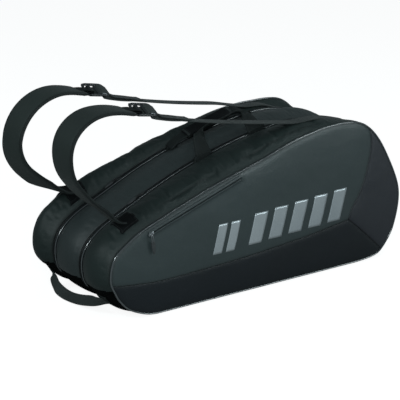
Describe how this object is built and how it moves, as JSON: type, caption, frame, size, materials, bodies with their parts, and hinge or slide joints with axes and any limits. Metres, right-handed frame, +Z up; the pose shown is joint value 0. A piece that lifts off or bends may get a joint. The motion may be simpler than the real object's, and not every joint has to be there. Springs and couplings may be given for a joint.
{
  "type": "racket tournament bag",
  "caption": "Padded racket tournament bag with two zipped main compartments, a side pocket, shoulder straps, carry handles and a grab loop.",
  "frame": {"origin": "centre of the base cloth's underside, on the floor", "axes": "+X towards the wide racket-head end, +Z up, the side panel with the pocket faces -Y"},
  "size_m": [0.8355, 0.277, 0.4282],
  "materials": {
    "panel_fabric": "smooth coated polyester, low sheen",
    "panel_fabric_dark": "smooth coated polyester, darker",
    "panel_fabric_end": "smooth coated polyester",
    "lobe_fabric": "fine woven polyester",
    "base_fabric": "coarse woven base cloth, matte",
    "board": "stiff polyethylene board",
    "foam": "foam sheet faced with cloth",
    "lining": "thin woven lining",
    "piping": "glossy piping cord",
    "zip_tape": "woven zip tape",
    "zip_coil": "nylon coil",
    "zip_metal": "polished slider",
    "zip_puller": "moulded puller tape",
    "print_film": "satin silver transfer film",
    "webbing": "ribbed nylon webbing",
    "strap_fabric": "padded strap cloth",
    "buckle_plastic": "moulded acetal",
    "wrap_fabric": "padded grip wrap"
  },
  "bodies": {
    "main_body": {"base_panel": "base_fabric", "base_stiffener_board": "board", "centre_divider": "foam", "centre_panel": "lobe_fabric", "centre_piping": "piping", "near_zip_tape_inner": "zip_tape", "near_zip_coil_inner": "zip_coil", "far_zip_tape_inner": "zip_tape", "far_zip_coil_inner": "zip_coil", "far_handle_feet": "webbing", "grab_loop_tabs": "webbing"},
    "near_shell": {"near_gusset": "lobe_fabric", "near_gusset_piping": "piping", "near_zip_tape_outer": "zip_tape", "near_zip_coil_outer": "zip_coil", "near_panel_main": "panel_fabric", "near_panel_lower": "panel_fabric_dark", "near_panel_end": "panel_fabric_end", "near_panel_piping": "piping", "near_lining": "lining", "pocket_pouch": "lining", "pocket_zip_tape": "zip_tape", "pocket_zip_coil": "zip_coil", "near_panel_print": "print_film", "near_strap_lower_patch": "webbing", "near_strap_sewn_webbing": "webbing", "near_handle_feet": "webbing"},
    "far_shell": {"far_gusset": "lobe_fabric", "far_zip_tape_outer": "zip_tape", "far_zip_coil_outer": "zip_coil", "far_panel_main": "panel_fabric", "far_panel_lower": "panel_fabric_dark", "far_panel_end": "panel_fabric_end", "far_panel_piping": "piping", "far_lining": "lining", "far_strap_lower_patch": "webbing", "far_strap_sewn_webbing": "webbing"},
    "near_strap": {"near_strap_pad": "strap_fabric", "near_strap_webbing": "webbing", "near_strap_tail": "webbing"},
    "far_strap": {"far_strap_pad": "strap_fabric", "far_strap_webbing": "webbing", "far_strap_tail": "webbing"},
    "near_buckle": {"near_strap_buckle": "buckle_plastic"},
    "far_buckle": {"far_strap_buckle": "buckle_plastic"},
    "near_handle": {"near_handle_webbing": "webbing"},
    "far_handle": {"far_handle_webbing": "webbing", "handle_wrap": "wrap_fabric"},
    "grab_loop": {"grab_loop": "webbing"},
    "near_zip_slider": {"near_zip_slider": "zip_metal"},
    "far_zip_slider": {"far_zip_slider": "zip_metal"},
    "near_zip_puller": {"near_zip_puller": "zip_puller"},
    "far_zip_puller": {"far_zip_puller": "zip_puller"},
    "pocket_zip_slider": {"pocket_zip_slider": "zip_metal"},
    "pocket_zip_puller": {"pocket_zip_puller": "zip_puller"}
  },
  "joints": [
    {"name": "near_compartment_open", "type": "hinge", "parent": "main_body", "child": "near_shell", "pos_m": [0, -0.1366, 0.0004], "axis": [1, 0, 0], "range_deg": [0, 35]},
    {"name": "far_compartment_open", "type": "hinge", "parent": "main_body", "child": "far_shell", "pos_m": [0, 0.1366, 0.0004], "axis": [-1, 0, 0], "range_deg": [0, 35]},
    {"name": "near_strap_swing", "type": "hinge", "parent": "near_shell", "child": "near_strap", "pos_m": [-0.33, -0.085, 0.2], "axis": [0.9625, 0, 0.2712], "range_deg": [-10, 50]},
    {"name": "far_strap_swing", "type": "hinge", "parent": "far_shell", "child": "far_strap", "pos_m": [-0.33, 0.079, 0.2], "axis": [-0.9625, 0, -0.2712], "range_deg": [-10, 50]},
    {"name": "near_buckle_tilt", "type": "hinge", "parent": "near_strap", "child": "near_buckle", "pos_m": [-0.2936, -0.085, 0.4058], "axis": [0, -1, 0], "range_deg": [0, 20]},
    {"name": "far_buckle_tilt", "type": "hinge", "parent": "far_strap", "child": "far_buckle", "pos_m": [-0.2936, 0.079, 0.4058], "axis": [0, -1, 0], "range_deg": [0, 20]},
    {"name": "near_handle_lift", "type": "hinge", "parent": "near_shell", "child": "near_handle", "pos_m": [-0.09, -0.0525, 0.27879], "axis": [0.9715, 0, 0.2368], "range_deg": [0, 50]},
    {"name": "far_handle_lift", "type": "hinge", "parent": "main_body", "child": "far_handle", "pos_m": [-0.092, 0.041, 0.27458], "axis": [-0.9765, 0, -0.2153], "range_deg": [-20, 30]},
    {"name": "grab_loop_lift", "type": "hinge", "parent": "main_body", "child": "grab_loop", "pos_m": [-0.349, 0, 0.027], "axis": [0, 1, 0], "range_deg": [0, 35]},
    {"name": "near_zip_travel", "type": "hinge", "parent": "main_body", "child": "near_zip_slider", "pos_m": [0.2311, -0.041, -0.7809], "axis": [0, 1, 0], "range_deg": [0, 17.5]},
    {"name": "far_zip_travel", "type": "hinge", "parent": "main_body", "child": "far_zip_slider", "pos_m": [0.2311, 0.0536, -0.7809], "axis": [0, 1, 0], "range_deg": [0, 17]},
    {"name": "near_puller_lift", "type": "hinge", "parent": "near_zip_slider", "child": "near_zip_puller", "pos_m": [-0.24636, -0.0392, 0.21589], "axis": [0, 1, 0], "range_deg": [0, 90]},
    {"name": "far_puller_lift", "type": "hinge", "parent": "far_zip_slider", "child": "far_zip_puller", "pos_m": [-0.23635, 0.052, 0.22062], "axis": [0, 1, 0], "range_deg": [0, 90]},
    {"name": "pocket_zip_travel", "type": "slide", "parent": "near_shell", "child": "pocket_zip_slider", "axis": [0.9461, 0, 0.3239], "range_m": [0, 0.2]},
    {"name": "pocket_puller_lift", "type": "hinge", "parent": "pocket_zip_slider", "child": "pocket_zip_puller", "pos_m": [-0.27949, -0.1395, 0.1694], "axis": [-1, 0, 0], "range_deg": [0, 100]}
  ]
}
